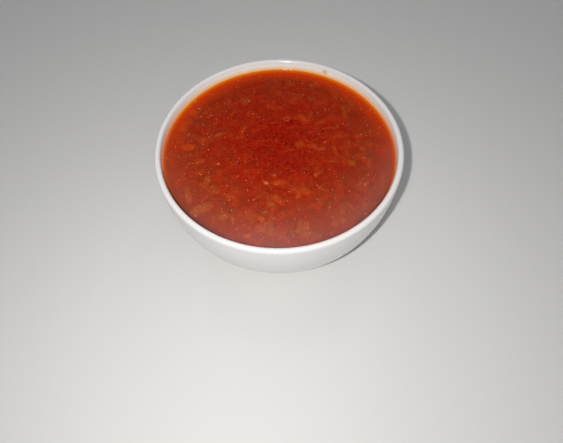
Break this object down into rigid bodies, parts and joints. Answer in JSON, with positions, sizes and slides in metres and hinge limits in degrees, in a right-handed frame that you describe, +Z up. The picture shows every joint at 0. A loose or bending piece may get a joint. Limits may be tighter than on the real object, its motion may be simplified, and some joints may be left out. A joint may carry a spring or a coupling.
{
  "type": "bowl of borscht",
  "caption": "Red beetroot soup with vegetable shreds, filling a round white porcelain bowl on a foot ring to just below its rim.",
  "frame": {"origin": "middle of the base, on the plane that the foot ring rests on", "axes": "+Z up along the bowl's axis of turning; -Y towards the side nearest the picture's camera"},
  "size_m": [0.14, 0.14, 0.06],
  "materials": {
    "porcelain": "gloss",
    "soup": "gloss"
  },
  "bodies": {
    "root": {"bowl": "porcelain", "broth": "soup"}
  },
  "joints": []
}
